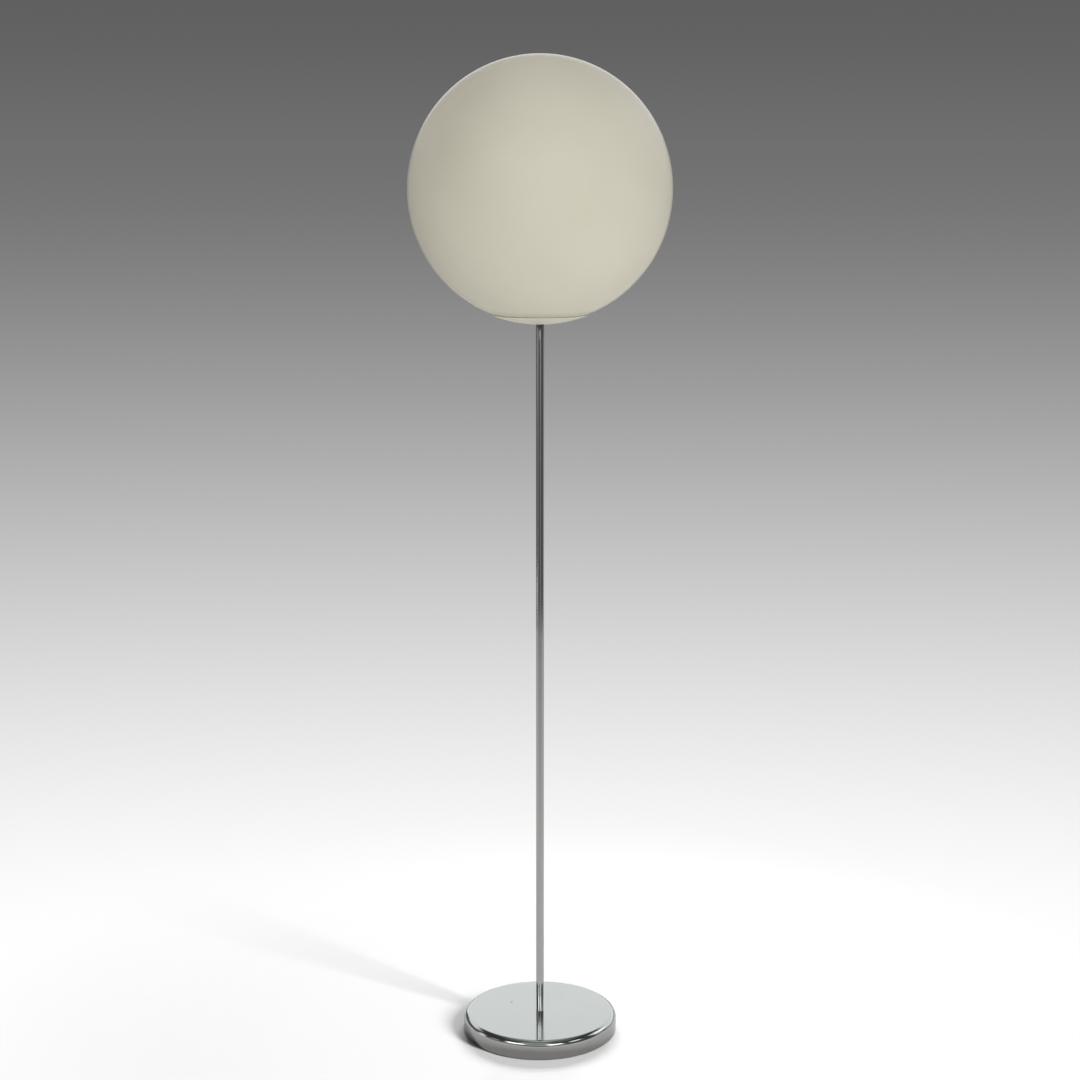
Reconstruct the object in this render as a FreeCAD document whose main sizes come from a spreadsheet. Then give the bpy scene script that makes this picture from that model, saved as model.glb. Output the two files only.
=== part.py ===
import FreeCAD, Part
import math
import os
import re

import Sketcher

# A globe floor lamp: a closed plastic globe that sits in a shallow dish, on one straight tube
# that stands on a low round weighted base. Lengths are in millimetres, +Z is up, and the origin
# is the middle of the pad that the lamp stands on. The lead leaves at the back, along +Y.

BASE_SIZES = {
    "base_diameter": 250.0,
    "base_height": 31.0,
    "shell_wall": 1.2,
    "shoulder_radius": 9.7,
    "shell_floor_gap": 1.0,
    "pad_thickness": 2.0,
    "pad_margin": 0.6,
    "plate_thickness": 2.0,
    "plate_margin": 0.8,
    "weight_thickness": 18.0,
    "weight_side_gap": 5.8,
    "counterbore_diameter": 34.0,
    "counterbore_depth": 6.0,
    "boss_diameter": 14.0,
    "boss_circle_diameter": 190.0,
    "boss_count": 3,
    "lead_groove_width": 13.0,
    "lead_groove_depth": 6.0,
}

FASTENER_SIZES = {
    "plate_screw_diameter": 4.0,
    "plate_screw_head_diameter": 7.6,
    "plate_screw_head_height": 1.8,
    "plate_screw_length": 9.0,
    "screw_clearance": 0.15,
    "slot_width": 1.0,
    "slot_depth": 0.9,
    "nut_across_flats": 14.3,
    "nut_thickness": 5.0,
    "nut_chamfer": 0.7,
    "base_washer_diameter": 28.0,
    "dish_washer_diameter": 25.0,
    "washer_thickness": 1.6,
    "lock_washer_diameter": 16.5,
    "lock_washer_thickness": 2.0,
    "lock_washer_slit": 1.5,
}

BUSHING_SIZES = {
    "bushing_height": 10.5,
    "bushing_bore_diameter": 7.0,
    "bushing_body_diameter": 10.8,
    "bushing_flange_diameter": 14.6,
    "bushing_flange_thickness": 2.0,
    "bushing_lip_diameter": 12.2,
    "bushing_lip_thickness": 2.0,
    "bushing_tail_length": 7.0,
    "bushing_clearance": 0.2,
    "bushing_seat_gap": 0.05,
    "bushing_edge": 0.8,
}

TUBE_SIZES = {
    "pole_diameter": 12.7,
    "pole_wall": 1.25,
    "pole_length": 1132.0,
    "nipple_bore_diameter": 7.0,
    "nipple_engagement": 16.0,
    "nipple_tail": 1.5,
    "nipple_chamfer": 0.5,
    "thread_clearance": 0.1,
    "hole_clearance": 0.25,
}

HEAD_SIZES = {
    "globe_diameter": 406.4,
    "globe_wall": 3.0,
    "globe_mouth_diameter": 127.0,
    "globe_seat_gap": 0.3,
    "dish_wall": 1.5,
    "dish_flat_diameter": 40.0,
    "dish_rim_diameter": 150.0,
    "ring_diameter": 124.0,
    "ring_wall": 1.5,
    "ring_height": 10.0,
    "ring_seat_gap": 0.1,
}

SOCKET_SIZES = {
    "socket_rise": 80.0,
    "hub_diameter": 15.0,
    "hub_height": 10.0,
    "hub_stop": 1.0,
    "socket_cap_diameter": 33.4,
    "socket_cap_wall": 0.8,
    "socket_cap_shoulder": 18.0,
    "socket_cap_height": 23.0,
    "socket_fit": 0.2,
    "socket_shell_wall": 0.6,
    "socket_shell_length": 42.0,
    "liner_wall": 0.6,
    "liner_length": 43.0,
    "block_height": 14.0,
    "notch_width": 9.0,
    "notch_height": 9.0,
    "notch_depth": 3.4,
    "terminal_head_diameter": 6.4,
    "terminal_head_thickness": 1.8,
    "terminal_shank_diameter": 3.5,
    "terminal_shank_length": 6.0,
    "set_screw_diameter": 2.8,
    "set_screw_head_diameter": 5.0,
    "set_screw_head_thickness": 1.6,
    "screw_shell_wall": 0.6,
    "screw_shell_length": 27.0,
    "screw_shell_hole_diameter": 16.0,
    "screw_shell_thread_start": 5.5,
    "screw_shell_thread_turns": 5.25,
    "leaf_thickness": 0.5,
    "leaf_width": 5.0,
    "leaf_rise": 4.0,
    "leaf_foot": 7.5,
    "leaf_heel": 5.5,
    "leaf_tip": 3.0,
}

BULB_SIZES = {
    "bulb_diameter": 60.3,
    "bulb_length": 112.7,
    "bulb_glass_wall": 0.9,
    "bulb_neck_diameter": 23.0,
    "bulb_neck_start": 20.0,
    "bulb_shoulder_angle": 40.0,
    "bulb_seat_gap": 0.3,
    "thread_pitch": 25.4 / 7,
    "thread_play": 0.4,
    "bulb_thread_diameter": 26.2,
    "bulb_thread_turns": 3.75,
    "bulb_cap_diameter": 24.6,
    "bulb_cap_wall": 0.6,
    "bulb_cap_start": 4.0,
    "bulb_cap_length": 20.5,
    "bulb_cap_taper": 1.8,
    "bulb_tip_diameter": 9.0,
    "bulb_tip_height": 2.2,
    "bulb_tip_edge": 1.2,
    "bulb_tip_crown": 9.0,
    "insulator_gap": 0.2,
    "insulator_fit": 0.15,
    "insulator_height": 3.0,
    "stem_fit": 0.1,
    "stem_start": 20.5,
    "stem_flare_height": 1.5,
    "stem_cone_height": 9.0,
    "stem_diameter": 6.0,
    "stem_tip_diameter": 5.0,
    "stem_length": 34.0,
    "filament_wire_diameter": 0.6,
    "filament_lead_spacing": 3.0,
    "filament_lead_rise": 5.0,
    "filament_shoulder_span": 22.0,
    "filament_shoulder_rise": 15.0,
    "filament_span": 18.0,
    "filament_rise": 17.5,
}

SIZES = {
    **BASE_SIZES, **FASTENER_SIZES, **BUSHING_SIZES, **TUBE_SIZES,
    **HEAD_SIZES, **SOCKET_SIZES, **BULB_SIZES,
}

# Sizes that follow from the ones above, as formulas in their names. Heights without another
# word are heights above the floor.
DERIVED = {
    # the base
    "base_radius": "base_diameter / 2",
    "shell_inner_radius": "base_radius - shell_wall",
    "shoulder_start": "base_height - shoulder_radius",
    "deck_underside": "base_height - shell_wall",
    "pad_radius": "shell_inner_radius - pad_margin",
    "plate_radius": "shell_inner_radius - plate_margin",
    "plate_top": "pad_thickness + plate_thickness",
    "weight_radius": "shell_inner_radius - weight_side_gap",
    "weight_bottom": "deck_underside - weight_thickness",
    "boss_circle_radius": "boss_circle_diameter / 2",
    "boss_height": "weight_bottom - plate_top",
    "plate_screw_radius": "plate_screw_diameter / 2",
    "plate_screw_head_radius": "plate_screw_head_diameter / 2",
    # the threaded pipe and what goes on it
    "pole_radius": "pole_diameter / 2",
    "pole_bore_radius": "pole_radius - pole_wall",
    "nipple_radius": "pole_bore_radius - thread_clearance",
    "nipple_bore_radius": "nipple_bore_diameter / 2",
    "tapped_radius": "nipple_radius + thread_clearance",
    "pipe_hole_radius": "nipple_radius + hole_clearance",
    "nut_corner_radius": "nut_across_flats / sqrt(3)",
    "base_washer_seat": "weight_bottom + counterbore_depth - washer_thickness",
    "base_lock_washer_seat": "base_washer_seat - lock_washer_thickness",
    "base_nut_seat": "base_lock_washer_seat - nut_thickness",
    "lower_nipple_start": "base_nut_seat - nipple_tail",
    "lower_nipple_length": "base_height + nipple_engagement - lower_nipple_start",
    # the bushing in the back of the shell
    "bushing_bore_radius": "bushing_bore_diameter / 2",
    "bushing_body_radius": "bushing_body_diameter / 2",
    "bushing_hole_radius": "bushing_body_radius + bushing_clearance",
    "bushing_neck_length": "shell_wall + 2 * bushing_clearance",
    "bushing_lip_end": "bushing_neck_length + bushing_lip_thickness",
    "bushing_length": "bushing_lip_end + bushing_tail_length",
    # the dish and the globe, which share one centre
    "pole_top": "base_height + pole_length",
    "globe_radius": "globe_diameter / 2",
    "globe_inner_radius": "globe_radius - globe_wall",
    "mouth_radius": "globe_mouth_diameter / 2",
    "dish_inner_radius": "globe_radius + globe_seat_gap",
    "dish_outer_radius": "dish_inner_radius + dish_wall",
    "dish_flat_radius": "dish_flat_diameter / 2",
    "dish_rim_radius": "dish_rim_diameter / 2",
    "dish_to_centre": "sqrt(dish_outer_radius ^ 2 - dish_flat_radius ^ 2)",
    "dish_rim_drop": "sqrt(dish_outer_radius ^ 2 - dish_rim_radius ^ 2)",
    "dish_rim_scale": "dish_inner_radius / dish_outer_radius",
    "dish_floor_radius": "sqrt(dish_inner_radius ^ 2 - (dish_to_centre - dish_wall) ^ 2)",
    "dish_floor": "pole_top + dish_wall",
    "globe_centre": "pole_top + dish_to_centre",
    "ring_radius": "ring_diameter / 2",
    "ring_start": "globe_centre - sqrt(dish_inner_radius ^ 2 - ring_radius ^ 2) + ring_seat_gap",
    "dish_lock_washer_seat": "dish_floor + washer_thickness",
    "dish_nut_seat": "dish_lock_washer_seat + lock_washer_thickness",
    # the socket, from the bottom of its cap
    "socket_start": "pole_top + socket_rise",
    "upper_nipple_start": "pole_top - nipple_engagement",
    "upper_nipple_length": "nipple_engagement + socket_rise + hub_height - hub_stop",
    "hub_radius": "hub_diameter / 2",
    "socket_cap_radius": "socket_cap_diameter / 2",
    "socket_cap_inner_radius": "socket_cap_radius - socket_cap_wall",
    "socket_shell_radius": "socket_cap_inner_radius - socket_fit",
    "socket_shell_inner_radius": "socket_shell_radius - socket_shell_wall",
    "liner_radius": "socket_shell_inner_radius - socket_fit",
    "liner_inner_radius": "liner_radius - liner_wall",
    "block_radius": "liner_inner_radius - socket_fit",
    "block_start": "socket_start + socket_cap_shoulder",
    "block_top": "block_start + block_height",
    "terminal_seat": "block_radius - notch_depth",
    "terminal_shank_radius": "terminal_shank_diameter / 2",
    "terminal_head_radius": "terminal_head_diameter / 2",
    "set_screw_radius": "set_screw_diameter / 2",
    "set_screw_head_radius": "set_screw_head_diameter / 2",
    # the thread: bulb and screw shell have the same depth of rib, and the bulb's first rib lies
    # a turn and a half above the screw shell's, so that each runs midway between the other's turns
    "bulb_thread_radius": "bulb_thread_diameter / 2",
    "bulb_cap_radius": "bulb_cap_diameter / 2",
    "bulb_cap_inner_radius": "bulb_cap_radius - bulb_cap_wall",
    "thread_depth": "bulb_thread_radius - bulb_cap_radius",
    "screw_shell_bore_radius": "bulb_thread_radius + thread_play",
    "screw_shell_radius": "screw_shell_bore_radius + screw_shell_wall",
    "screw_shell_hole_radius": "screw_shell_hole_diameter / 2",
    # the bulb, from the lowest point of its tip
    "bulb_start": "block_top + leaf_rise + bulb_seat_gap",
    "bulb_thread_start": "block_top + screw_shell_thread_start + 3 / 2 * thread_pitch - bulb_start",
    "bulb_cap_end": "bulb_cap_start + bulb_cap_length",
    "bulb_tip_radius": "bulb_tip_diameter / 2",
    "insulator_start": "bulb_tip_height + insulator_gap",
    "bulb_cap_hole_radius": "bulb_cap_radius - bulb_cap_taper - bulb_cap_wall * sqrt(2)",
    "insulator_radius": "bulb_cap_hole_radius - insulator_fit",
    "bulb_radius": "bulb_diameter / 2",
    "bulb_centre": "bulb_length - bulb_radius",
    "bulb_neck_radius": "bulb_neck_diameter / 2",
    "bulb_neck_inner_radius": "bulb_neck_radius - bulb_glass_wall",
    "bulb_waist_radius":
        "(bulb_radius * cos(bulb_shoulder_angle) - bulb_neck_radius) / (1 - cos(bulb_shoulder_angle))",
    "bulb_neck_end": "bulb_centre - (bulb_radius + bulb_waist_radius) * sin(bulb_shoulder_angle)",
    "stem_flare_radius": "bulb_neck_inner_radius - stem_fit",
    "stem_end": "stem_start + stem_length",
}

LEFT, RIGHT = 1, -1
UP = FreeCAD.Vector(0, 0, 1)

doc = FreeCAD.newDocument("globe_floor_lamp")
parts = []


def fill_sheet():
    """Write the driving sizes into a sheet, one named cell each."""
    sheet = doc.addObject("Spreadsheet::Sheet", "Dims")
    for row, (name, size) in enumerate(SIZES.items(), start=1):
        sheet.set(f"A{row}", name)
        sheet.set(f"B{row}", str(size))
        sheet.setAlias(f"B{row}", name)
    doc.recompute()
    return sheet


def bound(text):
    """Write a formula's size names out as the sheet's cells."""
    def swap(match):
        word = match.group(0)
        if word in DERIVED:
            return f"({bound(DERIVED[word])})"
        return f"Dims.{word}" if word in SIZES else word
    return re.sub(r"[a-z][a-z0-9_]*", swap, text)


def number(text):
    """Work out a formula's value now, for a sketch's first drawing."""
    result = dims.evalExpression(bound(text))
    return float(getattr(result, "Value", result))


def bind(item, **formulas):
    """Tie properties to formulas; base_x stands for Placement.Base.x."""
    for name, text in formulas.items():
        path = f"Placement.Base.{name[-1]}" if name.startswith("base_") else name
        item.setExpression(path, bound(text))


def new_body(label, seat="0"):
    """Start a body that stands at the height seat."""
    body = doc.addObject("PartDesign::Body", label)
    body.Label = label
    bind(body, base_z=seat)
    parts.append(body)
    return body


def origin_feature(body, role):
    """Find one of a body's own origin planes or axes."""
    return next(f for f in body.Origin.OriginFeatures if f.Role == role)


def new_sketch(body, name, role="XZ_Plane"):
    """Lay a sketch on one of a body's origin planes."""
    sketch = body.newObject("Sketcher::SketchObject", name)
    sketch.AttachmentSupport = [(origin_feature(body, role), "")]
    sketch.MapMode = "FlatFace"
    return sketch


def pin_point(sketch, geometry, end, across, along):
    """Fix a point of a sketch at two formulas, measured from the sketch's origin."""
    for kind, text, axis in (("DistanceX", across, -2), ("DistanceY", along, -1)):
        if text == "0":
            sketch.addConstraint(Sketcher.Constraint("PointOnObject", geometry, end, axis))
            continue
        index = sketch.addConstraint(
            Sketcher.Constraint(kind, -1, 1, geometry, end, number(text)))
        sketch.setExpression(f"Constraints[{index}]", bound(text))


def pin_radius(sketch, geometry, text):
    """Fix the radius of a sketch's arc or circle."""
    index = sketch.addConstraint(Sketcher.Constraint("Radius", geometry, number(text)))
    sketch.setExpression(f"Constraints[{index}]", bound(text))


def draw_edge(sketch, start, finish, radius=None, bend=LEFT):
    """Draw a line, or an arc of under half a turn, and say which of its ends is its start."""
    if radius is None:
        sketch.addGeometry(Part.LineSegment(start, finish), False)
        return 1, 2
    chord = finish - start
    middle = (start + finish) * 0.5
    reach = math.sqrt(radius ** 2 - (chord.Length / 2) ** 2)
    centre = middle + UP.cross(chord).normalize() * (reach * bend)
    first, last = (start, finish) if bend == LEFT else (finish, start)
    angles = [math.atan2(p.y - centre.y, p.x - centre.x) for p in (first, last)]
    circle = Part.Circle(centre, UP, radius)
    sketch.addGeometry(Part.ArcOfCircle(circle, *angles), False)
    return (1, 2) if bend == LEFT else (2, 1)


def draw_outline(sketch, corners, closed=True):
    """Draw the edges through corners, each (across, along) or (across, along, radius, bend)."""
    places = [FreeCAD.Vector(number(c[0]), number(c[1]), 0) for c in corners]
    edges = len(corners) if closed else len(corners) - 1
    ends = []
    for i in range(edges):
        radius = number(corners[i][2]) if len(corners[i]) > 2 else None
        bend = corners[i][3] if len(corners[i]) > 2 else LEFT
        ends.append(draw_edge(sketch, places[i], places[(i + 1) % len(places)], radius, bend))
    for i in range(edges):
        if closed or i > 0:
            last = (i - 1) % edges
            sketch.addConstraint(Sketcher.Constraint("Coincident", last, ends[last][1], i, ends[i][0]))
        pin_point(sketch, i, ends[i][0], corners[i][0], corners[i][1])
        if len(corners[i]) > 2:
            pin_radius(sketch, i, corners[i][2])
    if not closed:
        pin_point(sketch, edges - 1, ends[-1][1], corners[-1][0], corners[-1][1])


def draw_circle(sketch, across, along, radius):
    """Draw one circle at a place and of a radius given as formulas."""
    place = FreeCAD.Vector(number(across), number(along), 0)
    geometry = sketch.addGeometry(Part.Circle(place, UP, number(radius)), False)
    pin_point(sketch, geometry, 3, across, along)
    pin_radius(sketch, geometry, radius)


def spin(body, corners, kind="Revolution", axis="V_Axis", name="profile"):
    """Turn an outline through a full turn, to add it to a body or to groove it out."""
    sketch = new_sketch(body, f"{name}_sketch")
    draw_outline(sketch, corners)
    if axis not in ("V_Axis", "H_Axis"):
        foot = FreeCAD.Vector(number(axis), 0, 0)
        line = sketch.addGeometry(Part.LineSegment(foot, foot + FreeCAD.Vector(0, 1, 0)), True)
        sketch.addConstraint(Sketcher.Constraint("Vertical", line))
        sketch.addConstraint(Sketcher.Constraint("Distance", line, 1.0))
        pin_point(sketch, line, 1, axis, "0")
        axis = "Axis0"
    turn = body.newObject(f"PartDesign::{kind}", name)
    turn.Profile = sketch
    turn.ReferenceAxis = (sketch, [axis])
    turn.Angle = 360
    return turn


def turned(label, corners, seat="0", axis="V_Axis"):
    """Make a body by turning a closed outline of (radius, height) corners."""
    body = new_body(label, seat)
    spin(body, corners, axis=axis)
    return body


def repeat_round(body, count, feature=None):
    """Repeat one feature of a body, or the whole body, evenly about the upright axis."""
    doc.recompute()
    pattern = body.newObject("PartDesign::PolarPattern", "copies")
    if feature is None:
        pattern.TransformMode = "Whole shape"
    else:
        pattern.Originals = [feature]
    pattern.Axis = (origin_feature(body, "Z_Axis"), [""])
    pattern.Angle = 360
    bind(pattern, Occurrences=count)
    body.Tip = pattern


def extrude(body, sketch, kind, name, length, midplane=False, reverse=False):
    """Pad or pocket a sketch to a length."""
    feature = body.newObject(f"PartDesign::{kind}", name)
    feature.Profile = sketch
    feature.Midplane = midplane
    feature.Reversed = reverse
    bind(feature, Length=length)
    return feature


def cut_rear_hole(body, name, height, radius, reach):
    """Drill a round hole along +Y from the upright axis out to reach."""
    sketch = new_sketch(body, f"{name}_sketch")
    draw_circle(sketch, "0", height, radius)
    extrude(body, sketch, "Pocket", name, reach)


def cut_box(body, name, size, corner):
    """Cut out a box; size and corner are formulas along X, Y and Z."""
    box = body.newObject("PartDesign::SubtractiveBox", name)
    bind(box, Length=size[0], Width=size[1], Height=size[2])
    bind(box, base_x=corner[0], base_y=corner[1], base_z=corner[2])


def add_rib(body, root, inwards, start, turns):
    """Wind a half-round thread rib on a wall at radius root, outwards or inwards."""
    side = "-" if inwards else "+"
    buried = f"{root} {'+' if inwards else '-'} bulb_cap_wall / 2"
    low, high = f"{start} - thread_depth", f"{start} + thread_depth"
    sketch = new_sketch(body, "rib_sketch")
    crest = f"{root} {side} thread_depth"
    bend = RIGHT if inwards else LEFT
    draw_outline(sketch, [
        (buried, low),
        (root, low, "thread_depth", bend),
        (crest, start, "thread_depth", bend),
        (root, high),
        (buried, high),
    ])
    rib = body.newObject("PartDesign::AdditiveHelix", "thread_rib")
    rib.Profile = sketch
    rib.ReferenceAxis = (sketch, ["V_Axis"])
    rib.Mode = "pitch-turns-angle"
    bind(rib, Pitch="thread_pitch", Turns=turns)


def ring_outline(inner, outer, height):
    """Give the outline of a plain ring that stands at height 0."""
    return [(inner, "0"), (outer, "0"), (outer, height), (inner, height)]


def flat_washer(label, diameter, seat):
    """Make a flat washer for the threaded pipe."""
    turned(label, ring_outline("pipe_hole_radius", f"{diameter} / 2", "washer_thickness"), seat)


def lock_washer(label, seat):
    """Make a split spring washer for the threaded pipe."""
    body = turned(
        label,
        ring_outline("pipe_hole_radius", "lock_washer_diameter / 2", "lock_washer_thickness"),
        seat)
    cut_box(
        body, "slit",
        ("lock_washer_diameter / 2", "lock_washer_slit", "lock_washer_thickness"),
        ("0", "-lock_washer_slit / 2", "0"))


def hex_nut(label, seat):
    """Make a hexagon nut for the threaded pipe, its corners chamfered on both faces."""
    blank = turned(f"{label}_blank", [
        ("tapped_radius", "0"),
        ("nut_corner_radius - nut_chamfer", "0"),
        ("nut_corner_radius", "nut_chamfer"),
        ("nut_corner_radius", "nut_thickness - nut_chamfer"),
        ("nut_corner_radius - nut_chamfer", "nut_thickness"),
        ("tapped_radius", "nut_thickness"),
    ])
    parts.remove(blank)
    prism = doc.addObject("Part::Prism", f"{label}_prism")
    prism.Polygon = 6
    bind(prism, Circumradius="nut_corner_radius", Height="nut_thickness")
    nut = doc.addObject("Part::Common", label)
    nut.Label = label
    nut.Base, nut.Tool = blank, prism
    bind(nut, base_z=seat)
    parts.append(nut)


def nipple(label, length, seat):
    """Make a length of threaded pipe with chamfered ends."""
    turned(label, [
        ("nipple_bore_radius", "0"),
        ("nipple_radius - nipple_chamfer", "0"),
        ("nipple_radius", "nipple_chamfer"),
        ("nipple_radius", f"{length} - nipple_chamfer"),
        ("nipple_radius - nipple_chamfer", length),
        ("nipple_bore_radius", length),
    ], seat)


def make_pad_and_plate():
    """The pad on the floor, and the plate that closes the base, with its countersunk holes."""
    turned("base_pad", [
        ("0", "0"), ("pad_radius", "0"), ("pad_radius", "pad_thickness"), ("0", "pad_thickness")])
    plate = turned("base_plate", [
        ("0", "0"), ("plate_radius", "0"),
        ("plate_radius", "plate_thickness"), ("0", "plate_thickness"),
    ], "pad_thickness")
    wide = "boss_circle_radius + plate_screw_head_radius + screw_clearance"
    narrow = "boss_circle_radius + plate_screw_radius + screw_clearance"
    hole = spin(plate, [
        ("boss_circle_radius", "0"), (wide, "0"), (narrow, "plate_screw_head_height"),
        (narrow, "plate_thickness"), ("boss_circle_radius", "plate_thickness"),
    ], kind="Groove", axis="boss_circle_radius", name="screw_hole")
    repeat_round(plate, "boss_count", hole)


def make_plate_screws():
    """The slotted countersunk screws that hold the plate to the weight's bosses."""
    middle = "boss_circle_radius"
    screws = turned("base_plate_screws", [
        (middle, "0"),
        (f"{middle} + plate_screw_head_radius", "0"),
        (f"{middle} + plate_screw_radius", "plate_screw_head_height"),
        (f"{middle} + plate_screw_radius", "plate_screw_length"),
        (middle, "plate_screw_length"),
    ], "pad_thickness", middle)
    cut_box(
        screws, "slot",
        ("plate_screw_head_diameter", "slot_width", "slot_depth"),
        (f"{middle} - plate_screw_head_radius", "-slot_width / 2", "0"))
    repeat_round(screws, "boss_count")


def make_weight():
    """The iron disc under the deck, hung from it by the lower nipple's nut."""
    weight = turned("base_weight", [
        ("counterbore_diameter / 2", "0"),
        ("weight_radius", "0"),
        ("weight_radius", "weight_thickness - shoulder_radius", "shoulder_radius", LEFT),
        ("weight_radius - shoulder_radius", "weight_thickness"),
        ("pipe_hole_radius", "weight_thickness"),
        ("pipe_hole_radius", "counterbore_depth"),
        ("counterbore_diameter / 2", "counterbore_depth"),
    ], "weight_bottom")
    sketch = new_sketch(weight, "boss_sketch", "XY_Plane")
    draw_circle(sketch, "boss_circle_radius", "0", "boss_diameter / 2")
    draw_circle(sketch, "boss_circle_radius", "0", "plate_screw_radius + screw_clearance")
    boss = extrude(weight, sketch, "Pad", "boss", "boss_height", reverse=True)
    repeat_round(weight, "boss_count", boss)
    cut_box(
        weight, "lead_groove",
        ("lead_groove_width", "weight_radius", "lead_groove_depth"),
        ("-lead_groove_width / 2", "0", "0"))


def make_base_shell():
    """The spun cover: a flat deck, a round shoulder and a short wall, with the bushing's hole."""
    shell = turned("base_shell", [
        ("base_radius", "shell_floor_gap"),
        ("base_radius", "shoulder_start", "shoulder_radius", LEFT),
        ("base_radius - shoulder_radius", "base_height"),
        ("pipe_hole_radius", "base_height"),
        ("pipe_hole_radius", "deck_underside"),
        ("base_radius - shoulder_radius", "deck_underside", "shoulder_radius - shell_wall", RIGHT),
        ("shell_inner_radius", "shoulder_start"),
        ("shell_inner_radius", "shell_floor_gap"),
    ])
    cut_rear_hole(shell, "bushing_hole", "bushing_height", "bushing_hole_radius", "base_diameter")


def make_bushing():
    """The snap-in bushing that the lead leaves by, turned about the +Y axis."""
    face = "bushing_flange_thickness"
    bushing = turned("cord_bushing", [
        ("bushing_bore_radius", "bushing_edge"),
        ("bushing_bore_radius + bushing_edge", "0"),
        ("bushing_flange_diameter / 2 - bushing_edge", "0"),
        ("bushing_flange_diameter / 2", "bushing_edge"),
        ("bushing_flange_diameter / 2", face),
        ("bushing_body_radius", face),
        ("bushing_body_radius", f"{face} + bushing_neck_length"),
        ("bushing_lip_diameter / 2", f"{face} + bushing_neck_length"),
        ("bushing_body_radius", f"{face} + bushing_lip_end"),
        ("bushing_body_radius", f"{face} + bushing_length"),
        ("bushing_bore_radius", f"{face} + bushing_length"),
    ], "bushing_height")
    inwards = FreeCAD.Rotation(FreeCAD.Vector(1, 0, 0), 90)
    bushing.Placement = FreeCAD.Placement(FreeCAD.Vector(0, 0, 0), inwards)
    bind(bushing, base_y=f"base_radius + bushing_seat_gap + {face}", base_z="bushing_height")


def make_lower_fixing():
    """The nipple at the foot of the pole, with its washers and nut."""
    nipple("lower_nipple", "lower_nipple_length", "lower_nipple_start")
    flat_washer("base_flat_washer", "base_washer_diameter", "base_washer_seat")
    lock_washer("base_lock_washer", "base_lock_washer_seat")
    hex_nut("base_locknut", "base_nut_seat")


def make_pole():
    """The tube from the deck to the dish."""
    turned("pole_tube", ring_outline("pole_bore_radius", "pole_radius", "pole_length"), "base_height")


def make_dish():
    """The dish, a shallow cap of a sphere about the globe's centre, with a flat middle."""
    rim = "dish_to_centre - dish_rim_drop"
    turned("dish", [
        ("pipe_hole_radius", "0"),
        ("dish_flat_radius", "0", "dish_outer_radius", LEFT),
        ("dish_rim_radius", rim),
        ("dish_rim_radius * dish_rim_scale", "dish_to_centre - dish_rim_drop * dish_rim_scale",
         "dish_inner_radius", RIGHT),
        ("dish_floor_radius", "dish_wall"),
        ("pipe_hole_radius", "dish_wall"),
    ], "pole_top")
    turned(
        "locating_ring",
        ring_outline("ring_radius - ring_wall", "ring_radius", "ring_height"),
        "ring_start")


def make_upper_fixing():
    """The nipple through the dish, with its washers and nut."""
    nipple("upper_nipple", "upper_nipple_length", "upper_nipple_start")
    flat_washer("dish_washer", "dish_washer_diameter", "dish_floor")
    lock_washer("dish_lock_washer", "dish_lock_washer_seat")
    hex_nut("dish_locknut", "dish_nut_seat")


def make_globe():
    """The globe, from its lowest virtual point, open at the bottom to pass over the bulb."""
    turned("globe", [
        ("mouth_radius", "globe_radius - sqrt(globe_radius ^ 2 - mouth_radius ^ 2)",
         "globe_radius", LEFT),
        ("0", "globe_diameter"),
        ("0", "globe_diameter - globe_wall", "globe_inner_radius", RIGHT),
        ("mouth_radius", "globe_radius - sqrt(globe_inner_radius ^ 2 - mouth_radius ^ 2)"),
    ], "globe_centre - globe_radius")


def make_socket_cap():
    """The cap that screws on the upper nipple, and the set screw in its hub."""
    cap = turned("socket_cap", [
        ("tapped_radius", "0"),
        ("hub_radius", "0"),
        ("hub_radius", "hub_height"),
        ("socket_cap_radius", "socket_cap_shoulder"),
        ("socket_cap_radius", "socket_cap_height"),
        ("socket_cap_inner_radius", "socket_cap_height"),
        ("socket_cap_inner_radius", "socket_cap_shoulder"),
        ("tapped_radius", "hub_height + socket_cap_wall"),
    ], "socket_start")
    cut_rear_hole(
        cap, "set_screw_hole", "hub_height / 2", "set_screw_radius + thread_clearance",
        "hub_diameter")
    head = "hub_radius + socket_fit"
    screw = turned("socket_set_screw", [
        ("tapped_radius", "0"),
        (f"{head} + set_screw_head_thickness", "0"),
        (f"{head} + set_screw_head_thickness", "set_screw_head_radius"),
        (head, "set_screw_head_radius"),
        (head, "set_screw_radius"),
        ("tapped_radius", "set_screw_radius"),
    ], axis="H_Axis")
    cut_box(
        screw, "slot",
        ("slot_depth", "slot_width", "set_screw_head_diameter"),
        (f"{head} + set_screw_head_thickness - slot_depth", "-slot_width / 2",
         "-set_screw_head_radius"))
    screw.Placement = FreeCAD.Placement(FreeCAD.Vector(0, 0, 0), FreeCAD.Rotation(UP, 90))
    bind(screw, base_z="socket_start + hub_height / 2")


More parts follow.
